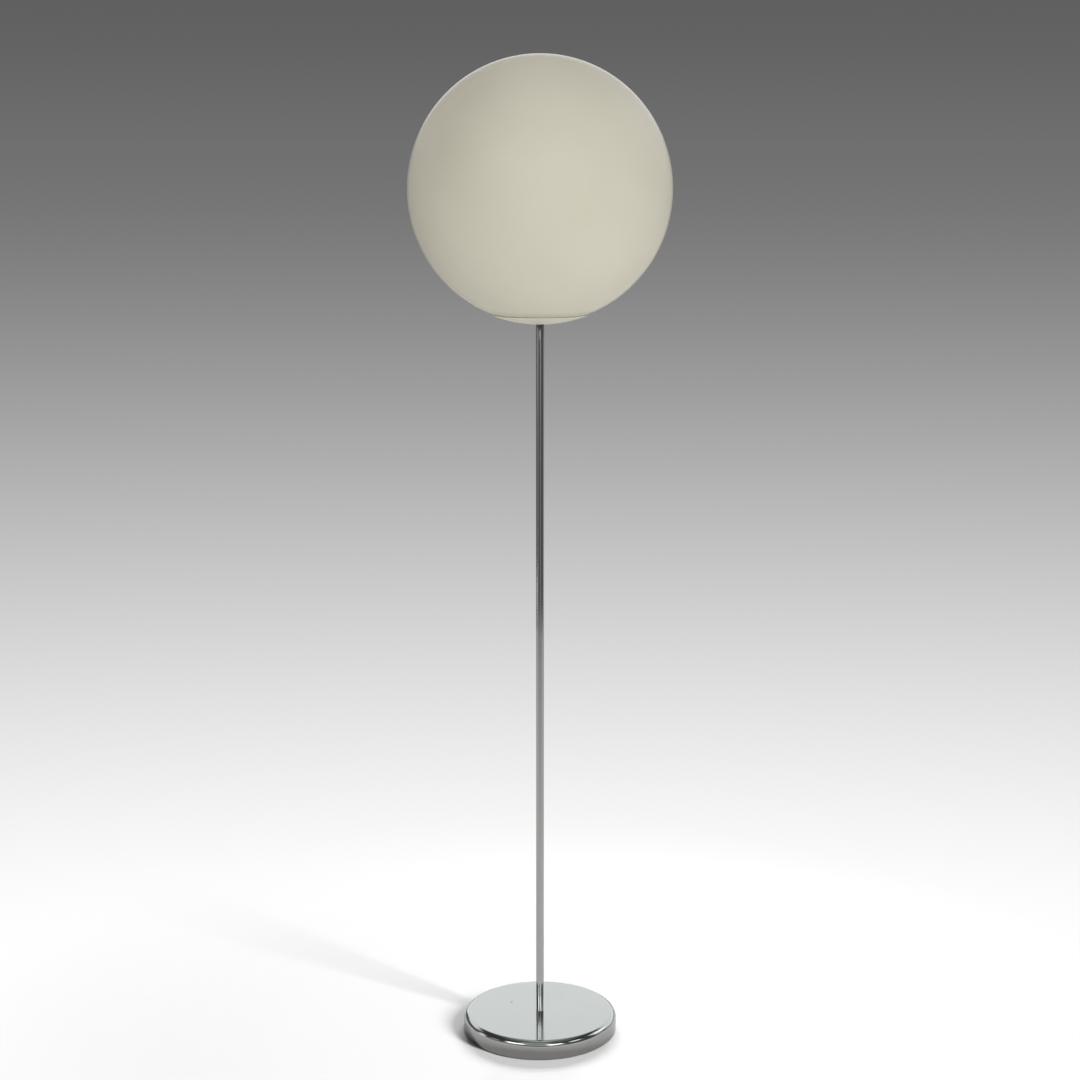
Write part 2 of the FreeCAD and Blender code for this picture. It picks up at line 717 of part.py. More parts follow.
def make_socket_block():
    """The insulating block, notched on both sides for the terminal screws."""
    block = turned("socket_body", [
        ("0", "0"), ("block_radius", "0"), ("block_radius", "block_height"), ("0", "block_height"),
    ], "block_start")
    for side, start in (("right", "terminal_seat"), ("left", "-block_radius")):
        cut_box(
            block, f"{side}_notch",
            ("notch_depth", "notch_width", "notch_height"),
            (start, "-notch_width / 2", "(block_height - notch_height) / 2"))
    sketch = new_sketch(block, "terminal_hole_sketch", "YZ_Plane")
    draw_circle(sketch, "0", "block_height / 2", "terminal_shank_radius + screw_clearance")
    extrude(block, sketch, "Pocket", "terminal_hole", "2 * block_radius", midplane=True)

    screws = turned("terminal_screws", [
        ("terminal_seat - terminal_shank_length", "0"),
        ("terminal_seat + terminal_head_thickness", "0"),
        ("terminal_seat + terminal_head_thickness", "terminal_head_radius"),
        ("terminal_seat", "terminal_head_radius"),
        ("terminal_seat", "terminal_shank_radius"),
        ("terminal_seat - terminal_shank_length", "terminal_shank_radius"),
    ], "block_start + block_height / 2", axis="H_Axis")
    cut_box(
        screws, "slot",
        ("slot_depth", "slot_width", "terminal_head_diameter"),
        ("terminal_seat + terminal_head_thickness - slot_depth", "-slot_width / 2",
         "-terminal_head_radius"))
    repeat_round(screws, "2")


def make_contacts():
    """The screw shell with its inward thread, and the spring leaf under the bulb's tip."""
    shell = turned("screw_shell", [
        ("screw_shell_hole_radius", "0"),
        ("screw_shell_radius", "0"),
        ("screw_shell_radius", "screw_shell_length"),
        ("screw_shell_bore_radius", "screw_shell_length"),
        ("screw_shell_bore_radius", "screw_shell_wall"),
        ("screw_shell_hole_radius", "screw_shell_wall"),
    ], "block_top")
    add_rib(
        shell, "screw_shell_bore_radius", True, "screw_shell_thread_start",
        "screw_shell_thread_turns")

    leaf = new_body("centre_contact", "block_top")
    sketch = new_sketch(leaf, "leaf_sketch")
    draw_outline(sketch, [
        ("leaf_foot", "0"),
        ("leaf_foot", "leaf_thickness"),
        ("leaf_heel", "leaf_thickness"),
        ("leaf_tip", "leaf_rise"),
        ("-leaf_tip", "leaf_rise"),
        ("-leaf_tip", "leaf_rise - leaf_thickness"),
        ("leaf_tip - leaf_thickness", "leaf_rise - leaf_thickness"),
        ("leaf_heel - leaf_thickness", "0"),
    ])
    extrude(leaf, sketch, "Pad", "leaf", "leaf_width", midplane=True)


def make_socket_shells():
    """The thin metal shell round the socket, and the insulating liner inside it."""
    turned(
        "socket_liner", ring_outline("liner_inner_radius", "liner_radius", "liner_length"),
        "block_start")
    turned(
        "socket_shell",
        ring_outline("socket_shell_inner_radius", "socket_shell_radius", "socket_shell_length"),
        "block_start")


def make_bulb_cap():
    """The bulb's tip, the insulator round it, and the threaded cap."""
    turned("bulb_contact", [
        ("0", "0", "bulb_tip_crown", LEFT),
        ("bulb_tip_radius", "bulb_tip_edge"),
        ("bulb_tip_radius", "bulb_tip_height"),
        ("0", "bulb_tip_height"),
    ], "bulb_start")
    turned("bulb_insulator", [
        ("0", "insulator_start"),
        ("bulb_tip_radius", "insulator_start"),
        ("insulator_radius", "bulb_cap_start"),
        ("insulator_radius", "bulb_cap_start + insulator_height"),
        ("0", "bulb_cap_start + insulator_height"),
    ], "bulb_start")
    cap = turned("bulb_cap", [
        ("bulb_cap_hole_radius", "bulb_cap_start"),
        ("bulb_cap_radius - bulb_cap_taper", "bulb_cap_start"),
        ("bulb_cap_radius", "bulb_cap_start + bulb_cap_taper"),
        ("bulb_cap_radius", "bulb_cap_end"),
        ("bulb_cap_inner_radius", "bulb_cap_end"),
        ("bulb_cap_inner_radius",
         "bulb_cap_start + bulb_cap_taper + bulb_cap_wall * (sqrt(2) - 1)"),
    ], "bulb_start")
    add_rib(cap, "bulb_cap_radius", False, "bulb_thread_start", "bulb_thread_turns")


def make_bulb_glass():
    """The bulb's envelope: a ball on a waisted neck that goes down into the cap."""
    turn_in, turn_up = "cos(bulb_shoulder_angle)", "sin(bulb_shoulder_angle)"
    inner = "bulb_radius - bulb_glass_wall"
    turned("bulb_glass", [
        ("bulb_neck_inner_radius", "bulb_neck_start"),
        ("bulb_neck_radius", "bulb_neck_start"),
        ("bulb_neck_radius", "bulb_neck_end", "bulb_waist_radius", RIGHT),
        (f"bulb_radius * {turn_in}", f"bulb_centre - bulb_radius * {turn_up}", "bulb_radius", LEFT),
        ("0", "bulb_length"),
        ("0", "bulb_length - bulb_glass_wall", inner, RIGHT),
        (f"({inner}) * {turn_in}", f"bulb_centre - ({inner}) * {turn_up}",
         "bulb_waist_radius + bulb_glass_wall", LEFT),
        ("bulb_neck_inner_radius", "bulb_neck_end"),
    ], "bulb_start")


def make_bulb_inside():
    """The glass stem that closes the neck, and the filament on its two leads."""
    turned("bulb_stem", [
        ("0", "0"),
        ("stem_flare_radius", "0"),
        ("stem_flare_radius", "stem_flare_height"),
        ("stem_diameter / 2", "stem_cone_height"),
        ("stem_tip_diameter / 2", "stem_length"),
        ("0", "stem_length"),
    ], "bulb_start + stem_start")
    filament = new_body("bulb_filament", "bulb_start + stem_end")
    section = new_sketch(filament, "wire_sketch", "XY_Plane")
    draw_circle(section, "filament_lead_spacing / 2", "0", "filament_wire_diameter / 2")
    route = new_sketch(filament, "route_sketch")
    draw_outline(route, [
        ("filament_lead_spacing / 2", "0"),
        ("filament_lead_spacing / 2", "filament_lead_rise"),
        ("filament_shoulder_span / 2", "filament_shoulder_rise"),
        ("filament_span / 2", "filament_rise"),
        ("0", "filament_rise"),
    ], closed=False)
    wire = filament.newObject("PartDesign::AdditivePipe", "half_wire")
    wire.Profile = section
    wire.Spine = (route, [f"Edge{i}" for i in range(1, 5)])
    wire.Transition = "Right corner"
    mirror = filament.newObject("PartDesign::Mirrored", "other_half")
    mirror.Originals = [wire]
    mirror.MirrorPlane = (origin_feature(filament, "YZ_Plane"), [""])
    filament.Tip = mirror


def check():
    """Stop if anything in the document failed, is loose or isn't a sound solid."""
    for item in doc.Objects:
        if {"Invalid", "Error"} & set(item.State):
            raise RuntimeError(f"{item.Label} failed: {item.State}")
        if item.isDerivedFrom("Sketcher::SketchObject") and not item.FullyConstrained:
            raise RuntimeError(f"{item.Label} isn't fully constrained")
    for part in parts:
        if part.Shape.isNull() or not part.Shape.isValid() or not part.Shape.Solids:
            raise RuntimeError(f"{part.Label} isn't a sound solid")


def save():
    """Write each sub-part's shape to a file of its own."""
    os.makedirs("parts", exist_ok=True)
    for part in parts:
        part.Shape.exportStep(f"parts/{part.Label}.step")
        print(f"{part.Label}: {len(part.Shape.Solids)} solids, {part.Shape.Volume:.1f} mm3")


dims = fill_sheet()
make_pad_and_plate()
make_plate_screws()
make_weight()
make_base_shell()
make_bushing()
make_lower_fixing()
make_pole()
make_dish()
make_upper_fixing()
make_globe()
make_socket_cap()
make_socket_block()
make_contacts()
make_socket_shells()
make_bulb_cap()
make_bulb_glass()
make_bulb_inside()
doc.recompute()
check()
save()
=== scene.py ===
"""A globe floor lamp: chromed base and pole, cream dish, and an opal globe over its bulb."""

import logging
import math
from dataclasses import dataclass
from enum import Enum
from typing import Protocol

import bpy
from mathutils import Matrix, Vector


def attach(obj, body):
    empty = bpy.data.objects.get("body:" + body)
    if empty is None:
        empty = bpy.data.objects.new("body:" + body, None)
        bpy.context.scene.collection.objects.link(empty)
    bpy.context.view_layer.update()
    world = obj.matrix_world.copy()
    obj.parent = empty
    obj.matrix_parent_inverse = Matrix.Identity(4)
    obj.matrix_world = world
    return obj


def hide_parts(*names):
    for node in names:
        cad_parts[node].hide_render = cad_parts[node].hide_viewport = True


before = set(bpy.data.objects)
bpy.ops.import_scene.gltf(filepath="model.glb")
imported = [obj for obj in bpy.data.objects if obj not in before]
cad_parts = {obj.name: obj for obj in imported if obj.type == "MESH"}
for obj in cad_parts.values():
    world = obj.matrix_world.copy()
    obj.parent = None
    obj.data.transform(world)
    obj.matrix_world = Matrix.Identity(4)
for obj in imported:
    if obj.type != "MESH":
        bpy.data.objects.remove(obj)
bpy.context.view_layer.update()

Colour = tuple[float, float, float]
Place = tuple[float, float, float]
Stops = list[tuple[float, Colour]]

MM = 0.001

log = logging.getLogger("globe_lamp")


# ---------------------------------------------------------------- shader maths


class Wire:
    """One output of a node tree, on which Python's operators add Math nodes."""

    def __init__(self, recipe: "Recipe", socket: bpy.types.NodeSocket) -> None:
        """Keeps the socket and the recipe that it belongs to."""
        self.recipe = recipe
        self.socket = socket

    def math(self, operation: str, *values: "Number") -> "Wire":
        """Adds one Math node.

        Args:
            operation: Blender's name of the operation.
            values: what goes into its sockets, in order.

        Returns:
            The result.
        """
        return self.recipe.node("ShaderNodeMath", {"operation": operation}, dict(enumerate(values)))

    def __add__(self, other: "Number") -> "Wire":
        """Adds."""
        return self.math("ADD", self, other)

    def __radd__(self, other: "Number") -> "Wire":
        """Adds to a number on the left."""
        return self.math("ADD", other, self)

    def __sub__(self, other: "Number") -> "Wire":
        """Subtracts."""
        return self.math("SUBTRACT", self, other)

    def __rsub__(self, other: "Number") -> "Wire":
        """Subtracts from a number on the left."""
        return self.math("SUBTRACT", other, self)

    def __mul__(self, other: "Number") -> "Wire":
        """Multiplies."""
        return self.math("MULTIPLY", self, other)

    def __truediv__(self, other: "Number") -> "Wire":
        """Divides."""
        return self.math("DIVIDE", self, other)

    def __pow__(self, other: "Number") -> "Wire":
        """Raises to a power."""
        return self.math("POWER", self, other)

    def rise(self, start: float, end: float) -> "Wire":
        """Runs smoothly from 0 to 1 between two values, or the other way where start is the higher.

        Args:
            start: the value at which the result is 0.
            end: the value at which the result is 1.

        Returns:
            The result, held between 0 and 1.
        """
        up = start < end
        spread = {0: self, 1: min(start, end), 2: max(start, end), 3: 1.0 - up, 4: float(up)}
        return self.recipe.node("ShaderNodeMapRange", {"interpolation_type": "SMOOTHSTEP"}, spread)

    def pulse(self, start: float, end: float, edge: float) -> "Wire":
        """Is 1 between two values and 0 outside them, with soft edges."""
        return self.rise(start - edge, start + edge) * self.rise(end + edge, end - edge)


Number = float | Wire


class Recipe:
    """A node tree that is filled from Python expressions."""

    def __init__(self, tree: bpy.types.NodeTree) -> None:
        """Empties the tree."""
        self.tree = tree
        tree.nodes.clear()

    def node(self, kind: str, settings: dict, inputs: dict, output: int | str = 0) -> Wire:
        """Adds one node.

        Args:
            kind: Blender's name of the node.
            settings: the node's own properties, and its ramp's stops under "stops".
            inputs: values or wires by the name or number of the socket.
            output: the name or number of the output that is wanted.

        Returns:
            That output.
        """
        made = self.tree.nodes.new(kind)
        for name, value in settings.items():
            if name == "stops":
                self.set_stops(made.color_ramp, value)
            else:
                setattr(made, name, value)
        for key, value in inputs.items():
            socket = made.inputs[key]
            if isinstance(value, Wire):
                self.tree.links.new(value.socket, socket)
            elif socket.type == "RGBA" and len(value) == 3:
                socket.default_value = (*value, 1.0)
            else:
                socket.default_value = value
        return Wire(self, made.outputs[output])

    @staticmethod
    def set_stops(ramp: bpy.types.ColorRamp, stops: Stops) -> None:
        """Sets a ramp's stops, each a position from 0 to 1 and a colour."""
        while len(ramp.elements) > 1:
            ramp.elements.remove(ramp.elements[-1])
        ramp.elements[0].position = stops[0][0]
        ramp.elements[0].color = (*stops[0][1], 1.0)
        for position, colour in stops[1:]:
            ramp.elements.new(position).color = (*colour, 1.0)

    def place(
            self, scale: Place = (1, 1, 1), at: Place = (0, 0, 0),
            turn: Place = (0, 0, 0)) -> Wire:
        """Gives the object's own coordinates, stretched, moved and turned."""
        where = self.node("ShaderNodeTexCoord", {}, {}, "Object")
        return self.node(
            "ShaderNodeMapping", {},
            {"Vector": where, "Scale": scale, "Location": at, "Rotation": turn})

    def split(self, where: Wire) -> tuple[Wire, Wire, Wire]:
        """Splits a vector into its three parts."""
        parts = [self.node("ShaderNodeSeparateXYZ", {}, {0: where}, i) for i in range(3)]
        return parts[0], parts[1], parts[2]

    def join(self, x: Number, y: Number, z: Number) -> Wire:
        """Makes a vector of three numbers."""
        return self.node("ShaderNodeCombineXYZ", {}, {0: x, 1: y, 2: z})

    def noise(self, where: Wire, scale: float, detail: float = 3.0, rough: float = 0.5) -> Wire:
        """Gives soft noise from 0 to 1.

        Args:
            where: the coordinates.
            scale: how many lumps there are along one unit.
            detail: how many finer layers are added.
            rough: how strong those are.

        Returns:
            The noise.
        """
        return self.node(
            "ShaderNodeTexNoise", {},
            {"Vector": where, "Scale": scale, "Detail": detail, "Roughness": rough})

    def cells(self, where: Wire, scale: float) -> Wire:
        """Gives the distance from the nearest of many scattered points, in cells."""
        return self.node("ShaderNodeTexVoronoi", {}, {"Vector": where, "Scale": scale})

    def specks(
            self, density: float, size: tuple[float, float], patches: float,
            cover: tuple[float, float]) -> Wire:
        """Scatters small spots in loose patches.

        Args:
            density: how many spots there could be along one metre.
            size: where a spot ends and where it is full, in shares of the room that it has.
            patches: how many patches there are along one metre.
            cover: the levels of noise at which a patch begins and at which it is full.

        Returns:
            The spots, 1 where they are full.
        """
        spots = self.cells(self.place(), density).rise(*size)
        return spots * self.noise(self.place(), patches, 2.0).rise(*cover)

    def grey(self, level: Wire) -> Wire:
        """Makes a neutral colour of a level."""
        return self.join(level, level, level)

    def mix(self, factor: Number, first: Colour | Wire, second: Colour | Wire) -> Wire:
        """Mixes two colours: first at a factor of 0, second at 1."""
        return self.node(
            "ShaderNodeMix", {"data_type": "RGBA"}, {0: factor, 6: first, 7: second}, 2)

    def ramp(self, factor: Wire, stops: Stops) -> Wire:
        """Runs through several colours."""
        return self.node("ShaderNodeValToRGB", {"stops": stops}, {0: factor})

    def bump(self, height: Wire, depth: float, under: Wire | None = None) -> Wire:
        """Gives the normal of a surface with small relief.

        Args:
            height: the relief from 0 to 1.
            depth: what a height of 1 stands for, in metres.
            under: the normal of coarser relief below it.

        Returns:
            The normal.
        """
        inputs = {"Height": height, "Distance": depth, "Strength": 1.0}
        if under is not None:
            inputs["Normal"] = under
        return self.node("ShaderNodeBump", {}, inputs)

    def blend(self, factor: Number, first: Wire, second: Wire) -> Wire:
        """Mixes two shaders: first at a factor of 0, second at 1."""
        return self.node("ShaderNodeMixShader", {}, {0: factor, 1: first, 2: second})

    def ray(self, *kinds: str) -> Wire:
        """Is 1 for rays of these kinds, such as "Is Camera Ray"."""
        total, *others = (self.node("ShaderNodeLightPath", {}, {}, kind) for kind in kinds)
        for other in others:
            total = total.math("MAXIMUM", total, other)
        return total

    def surface(self, **sockets: object) -> Wire:
        """Adds the surface's shader; a socket's name is written with _ for each space."""
        inputs = {name.replace("_", " "): value for name, value in sockets.items()}
        return self.node("ShaderNodeBsdfPrincipled", {}, inputs)

    def output(self, shader: Wire, kind: str = "ShaderNodeOutputMaterial") -> None:
        """Ends the tree."""
        made = self.tree.nodes.new(kind)
        self.tree.links.new(shader.socket, made.inputs["Surface"])


def new_material(name: str) -> tuple[bpy.types.Material, Recipe]:
    """Makes a material and the recipe of its node tree."""
    material = bpy.data.materials.new(name)
    material.use_nodes = True
    return material, Recipe(material.node_tree)


# ---------------------------------------------------------------- finishes


class Finish(Protocol):
    """What a piece can be dressed in."""

    def material(self) -> bpy.types.Material:
        """Builds the material."""


class Grain(Enum):
    """Which way a metal's fine lines run."""

    TURNED = "round the upright axis"
    DRAWN = "along the upright axis"
    NONE = "no way at all"


def grain_place(recipe: Recipe, grain: Grain, fine: float) -> Wire:
    """Gives coordinates in which soft noise looks like the fine lines of a grain.

    Args:
        recipe: the tree.
        grain: the way that the lines run.
        fine: how many lines there are along one metre.

    Returns:
        The coordinates.
    """
    if grain is Grain.DRAWN:
        return recipe.place(scale=(fine, fine, fine * 0.004))
    if grain is Grain.NONE:
        return recipe.place(scale=(fine, fine, fine))
    x, y, z = recipe.split(recipe.place())
    radius = (x * x + y * y) ** 0.5
    around = x.math("ARCTAN2", y, x) * 1.5
    return recipe.join(radius * fine, z * fine, around)


@dataclass(frozen=True)
class Chrome:
    """Bright plating with polishing lines, faint smudges, dust, small pits, perhaps one mark, and
    painted shade low down.
    """

    name: str
    deck: Colour
    # wall: a darker tint for the side wall, painted shade
    wall: Colour
    painted_shade_top: float
    roughness: float
    grain: Grain
    mark: Place | None = None

    def material(self) -> bpy.types.Material:
        """Builds the material."""
        material, r = new_material(self.name)
        height = r.split(r.place())[2]
        # Painted shade: below this height the colour runs from the deck's tint to the darker wall
        # tint.
        upper = height.rise(self.painted_shade_top - 4 * MM, self.painted_shade_top + 4 * MM)
        tint = r.mix(upper, self.wall, self.deck)
        smudge = r.noise(r.place(), 14.0, 4.0, 0.6).rise(0.42, 0.72)
        lines = r.noise(grain_place(r, self.grain, 2600.0), 1.0, 3.0, 0.6)
        pits = r.specks(900.0, (0.09, 0.03), 60.0, (0.55, 0.7))
        dust = r.specks(520.0, (0.12, 0.05), 35.0, (0.5, 0.66))
        tint = r.mix(pits * 0.7, tint, (0.09, 0.085, 0.08))
        tint = r.mix(dust * 0.18, tint, (0.5, 0.49, 0.47))
        tint = r.mix(smudge * 0.06, tint, (0.42, 0.41, 0.38))
        if self.mark is not None:
            x, y, _ = r.split(r.place(at=tuple(-c for c in self.mark)))
            spot = ((x * x + y * y * 0.3) ** 0.5).rise(2.2 * MM, 0.8 * MM)
            tint = r.mix(spot * 0.7, tint, (0.2, 0.18, 0.16))
        rough = self.roughness + smudge * 0.05 + (lines - 0.5) * 0.05 + dust * 0.15 + pits * 0.3
        waves = r.bump(r.noise(r.place(), 9.0, 1.0), 0.02 * MM)
        relief = r.bump(lines, 0.0006 * MM, r.bump(1 - pits, 0.01 * MM, waves))
        r.output(r.surface(Base_Color=tint, Metallic=1.0, Roughness=rough, Normal=relief))
        return material


@dataclass(frozen=True)
class BareMetal:
    """Brass, zinc or nickel: its grain, stains where it has dulled, and worn spots."""

    name: str
    bright: Colour
    dull: Colour
    roughness: float
    grain: Grain
    stain_scale: float
    stain: float = 0.6
    relief: float = 0.004

    def material(self) -> bpy.types.Material:
        """Builds the material."""
        material, r = new_material(self.name)
        stain = r.noise(r.place(), self.stain_scale, 5.0, 0.62).rise(0.38, 0.7)
        lines = r.noise(grain_place(r, self.grain, 1800.0), 1.0, 4.0, 0.65)
        specks = r.cells(r.place(), 700.0).rise(0.16, 0.06)
        tint = r.mix(stain * self.stain, self.bright, self.dull)
        tint = r.mix((lines - 0.45).math("ABSOLUTE", lines - 0.45) * 0.6, tint, self.dull)
        tint = r.mix(specks * 0.35, tint, tuple(0.45 * c for c in self.dull))
        rough = self.roughness + stain * 0.16 + (lines - 0.5) * 0.18 + specks * 0.12
        relief = r.bump(lines, self.relief * MM, r.bump(stain, 0.01 * MM))
        r.output(r.surface(Base_Color=tint, Metallic=1.0, Roughness=rough, Normal=relief))
        return material


@dataclass(frozen=True)
class CastIron:
    """A rough cast disc in thin dark paint, with a little rust in patches."""

    name: str
    paint: Colour
    rust: Colour

    def material(self) -> bpy.types.Material:
        """Builds the material."""
        material, r = new_material(self.name)
        sand = r.noise(r.place(), 900.0, 6.0, 0.7)
        lumps = r.noise(r.place(), 60.0, 3.0, 0.5)
        rusty = r.noise(r.place(), 38.0, 6.0, 0.7).rise(0.58, 0.72)
        tint = r.mix(sand * 0.5, self.paint, tuple(1.8 * c for c in self.paint))
        tint = r.mix(rusty * 0.8, tint, self.rust)
        relief = r.bump(sand, 0.12 * MM, r.bump(lumps, 0.35 * MM))
        r.output(r.surface(
            Base_Color=tint, Roughness=0.62 + rusty * 0.25 - sand * 0.12, Normal=relief))
        return material


@dataclass(frozen=True)
class PressedPad:
    """Pressed felt or fibre: short tangled hairs in several shades."""

    name: str
    dark: Colour
    light: Colour
    hairs: float

    def material(self) -> bpy.types.Material:
        """Builds the material."""
        material, r = new_material(self.name)
        across = r.place(scale=(self.hairs, self.hairs * 0.16, self.hairs))
        along = r.place(scale=(self.hairs * 0.16, self.hairs, self.hairs), turn=(0, 0, 0.6))
        first, second = (r.noise(where, 1.0, 4.0, 0.6) for where in (across, along))
        hair = first.math("MAXIMUM", first, second)
        clump = r.noise(r.place(), self.hairs * 0.03, 3.0)
        tint = r.mix(hair.rise(0.4, 0.75), self.dark, self.light)
        tint = r.mix(clump * 0.35, tint, self.dark)
        relief = r.bump(hair, 0.2 * MM, r.bump(clump, 0.3 * MM))
        r.output(r.surface(
            Base_Color=tint, Roughness=0.93, Sheen_Weight=0.25, Sheen_Roughness=0.6, Normal=relief))
        return material


@dataclass(frozen=True)
class Moulded:
    """Moulded plastic with a fine spark grain and rubbed, shinier places."""

    name: str
    body: Colour
    roughness: float
    grain: float

    def material(self) -> bpy.types.Material:
        """Builds the material."""
        material, r = new_material(self.name)
        spark = r.noise(r.place(), 2200.0, 4.0, 0.6)
        rubbed = r.noise(r.place(), 90.0, 3.0, 0.6).rise(0.45, 0.7)
        tint = r.mix(rubbed * 0.4, self.body, tuple(min(1.0, 1.7 * c + 0.01) for c in self.body))
        tint = r.mix(spark * 0.15, tint, tuple(0.6 * c for c in self.body))
        rough = self.roughness + spark * 0.12 - rubbed * 0.1
        r.output(r.surface(
            Base_Color=tint, Roughness=rough, Coat_Weight=rubbed * 0.15,
            Normal=r.bump(spark, self.grain * MM)))
        return material


@dataclass(frozen=True)
class OpalPlastic:
    """Aged milky plastic: cloudy, dusty on top, with dirt specks; painted shade above its seat and
    on its upper left.
    """

    name: str
    body: Colour
    aged: Colour
    dirt_and_shade: Colour
    seat: float
    top: float

    def material(self) -> bpy.types.Material:
        """Builds the material."""
        material, r = new_material(self.name)
        x, _, height = r.split(r.place())
        cloud = r.noise(r.place(), 5.0, 4.0, 0.55)
        # Painted shade: the upper left is mixed towards the darker brown colour.
        painted_shade_upper_left = x.rise(20 * MM, -170 * MM) * height.rise(self.top - 260 * MM, self.top - 90 * MM)
        speck = r.specks(130.0, (0.07, 0.03), 11.0, (0.5, 0.62))
        powder = r.noise(r.place(), 160.0, 4.0, 0.7).rise(0.35, 0.7)
        settle = height.rise(self.top - 80 * MM, self.top) * powder
        # Painted shade: a darker band just above the seat, where the dish meets the globe.
        line = height.rise(self.seat + 13 * MM, self.seat + 2 * MM)
        line = line * (r.noise(r.place(), 55.0, 3.0) * 0.6 + 0.5)
        # The colour runs a little towards the aged tint in the lowest 60 mm above the seat.
        low = height.rise(self.seat + 60 * MM, self.seat)
        tint = r.mix(cloud.rise(0.3, 0.75) * 0.5, self.body, self.aged)
        tint = r.mix(low * 0.25, tint, self.aged)
        tint = r.mix(painted_shade_upper_left * (cloud * 0.2 + 0.08), tint, self.dirt_and_shade)
        tint = r.mix(settle * 0.08, tint, (0.5, 0.48, 0.44))
        tint = r.mix(speck * 0.35, tint, self.dirt_and_shade)
        # the band of painted shade above the seat
        tint = r.mix(line * 0.34, tint, self.dirt_and_shade)
        skin = r.noise(r.place(), 700.0, 2.0, 0.5)
        rough = 0.44 + cloud * 0.08 + settle * 0.2 + line * 0.2
        edge = r.node("ShaderNodeLayerWeight", {}, {"Blend": 0.5}, "Facing").rise(0.78, 0.97)
        relief = r.bump(skin, 0.004 * MM, r.bump(r.noise(r.place(), 16.0, 1.0), 0.12 * MM))
        r.output(r.surface(
            Base_Color=tint, Roughness=rough, IOR=1.49, Specular_IOR_Level=0.3,
            Coat_Weight=0.04 + edge * (0.8 - settle * 0.3), Coat_Roughness=0.12, Sheen_Weight=0.08,
            Sheen_Roughness=0.3, Normal=relief))
        return material


@dataclass(frozen=True)
class BakedPaint:
    """Baked paint with orange peel, cloudy shades and dust nibs."""

    name: str
    body: Colour
    shade: Colour
    roughness: float

    def material(self) -> bpy.types.Material:
        """Builds the material."""
        material, r = new_material(self.name)
        peel = r.noise(r.place(), 520.0, 2.0, 0.45)
        cloud = r.noise(r.place(), 22.0, 4.0, 0.55).rise(0.3, 0.75)
        nibs = r.specks(240.0, (0.09, 0.03), 30.0, (0.5, 0.62))
        tint = r.mix(cloud * 0.45, self.body, self.shade)
        tint = r.mix(nibs * 0.4, tint, tuple(0.6 * c for c in self.shade))
        rough = self.roughness + (peel - 0.5) * 0.1 + cloud * 0.06
        relief = r.bump(peel, 0.02 * MM, r.bump(nibs, 0.03 * MM))
        r.output(r.surface(
            Base_Color=tint, Roughness=rough, Coat_Weight=0.2, Coat_Roughness=0.2, Normal=relief))
        return material


@dataclass(frozen=True)
class Glass:
    """Glass, clear or coated, with faint ripples and dust."""

    name: str
    body: Colour
    roughness: float
    clear: float

    def material(self) -> bpy.types.Material:
        """Builds the material."""
        material, r = new_material(self.name)
        cloud = r.noise(r.place(), 70.0, 3.0, 0.5)
        dust = r.specks(800.0, (0.11, 0.05), 70.0, (0.5, 0.65))
        tint = r.mix(cloud * 0.25, self.body, tuple(0.9 * c for c in self.body))
        tint = r.mix(dust * 0.3, tint, tuple(0.7 * c for c in self.body))
        rough = self.roughness + cloud * 0.04 + dust * 0.2
        relief = r.bump(r.noise(r.place(), 30.0, 1.0), 0.05 * MM)
        r.output(r.surface(
            Base_Color=tint, Roughness=rough, IOR=1.5, Transmission_Weight=self.clear,
            Coat_Weight=1.0 - self.clear, Coat_Roughness=0.04, Normal=relief))
        return material


PAD = PressedPad("pad", (0.035, 0.035, 0.036), (0.13, 0.13, 0.125), 2400.0)
CARD = PressedPad("card_liner", (0.15, 0.115, 0.08), (0.38, 0.31, 0.22), 1500.0)
ZINC = BareMetal("zinc_steel", (0.62, 0.62, 0.6), (0.36, 0.36, 0.33), 0.3, Grain.TURNED, 90.0)
BRASS = BareMetal("brass", (0.78, 0.58, 0.28), (0.42, 0.28, 0.11), 0.24, Grain.TURNED, 70.0)
NICKEL = BareMetal("nickel", (0.66, 0.64, 0.58), (0.4, 0.38, 0.33), 0.26, Grain.TURNED, 110.0)
SOLDER = BareMetal("solder", (0.6, 0.6, 0.6), (0.3, 0.3, 0.3), 0.38, Grain.NONE, 320.0, 0.7, 0.02)
TUNGSTEN = BareMetal(
    "filament_wire", (0.3, 0.29, 0.28), (0.14, 0.13, 0.13), 0.42, Grain.DRAWN, 400.0)
IRON = CastIron("iron", (0.045, 0.046, 0.048), (0.2, 0.085, 0.035))
BLACK = Moulded("black_plastic", (0.022, 0.022, 0.024), 0.42, 0.012)
# Its third colour serves both the dirt specks and the painted shade.
OPAL = OpalPlastic(
    "opal_plastic", (0.64, 0.61, 0.505), (0.59, 0.55, 0.43), (0.3, 0.25, 0.17),
    seat=1176.5 * MM, top=1570.2 * MM)
CREAM = BakedPaint("cream_paint", (0.66, 0.63, 0.5), (0.58, 0.55, 0.43), 0.4)
FROSTED = Glass("frosted_glass", (0.82, 0.82, 0.79), 0.42, 0.0)
BLACK_GLASS = Glass("black_glass", (0.018, 0.016, 0.022), 0.1, 0.0)
CLEAR_GLASS = Glass("clear_glass", (0.95, 0.97, 0.96), 0.02, 1.0)
# The wall tint and the height it reaches paint shade on the base's side wall.
BASE_CHROME = Chrome(
    "chrome_base", (0.585, 0.62, 0.61), (0.42, 0.42, 0.405), 23 * MM, 0.1, Grain.TURNED,
    mark=(-47 * MM, 32 * MM, 31 * MM))
POLE_CHROME = Chrome("chrome_pole", (0.5, 0.5, 0.49), (0.5, 0.5, 0.49), 0.0, 0.09, Grain.DRAWN)


# ---------------------------------------------------------------- the bench


def clear_selection() -> None:
    """Deselects every object, so that the next operator acts on the new one alone."""
    bpy.ops.object.select_all(action="DESELECT")


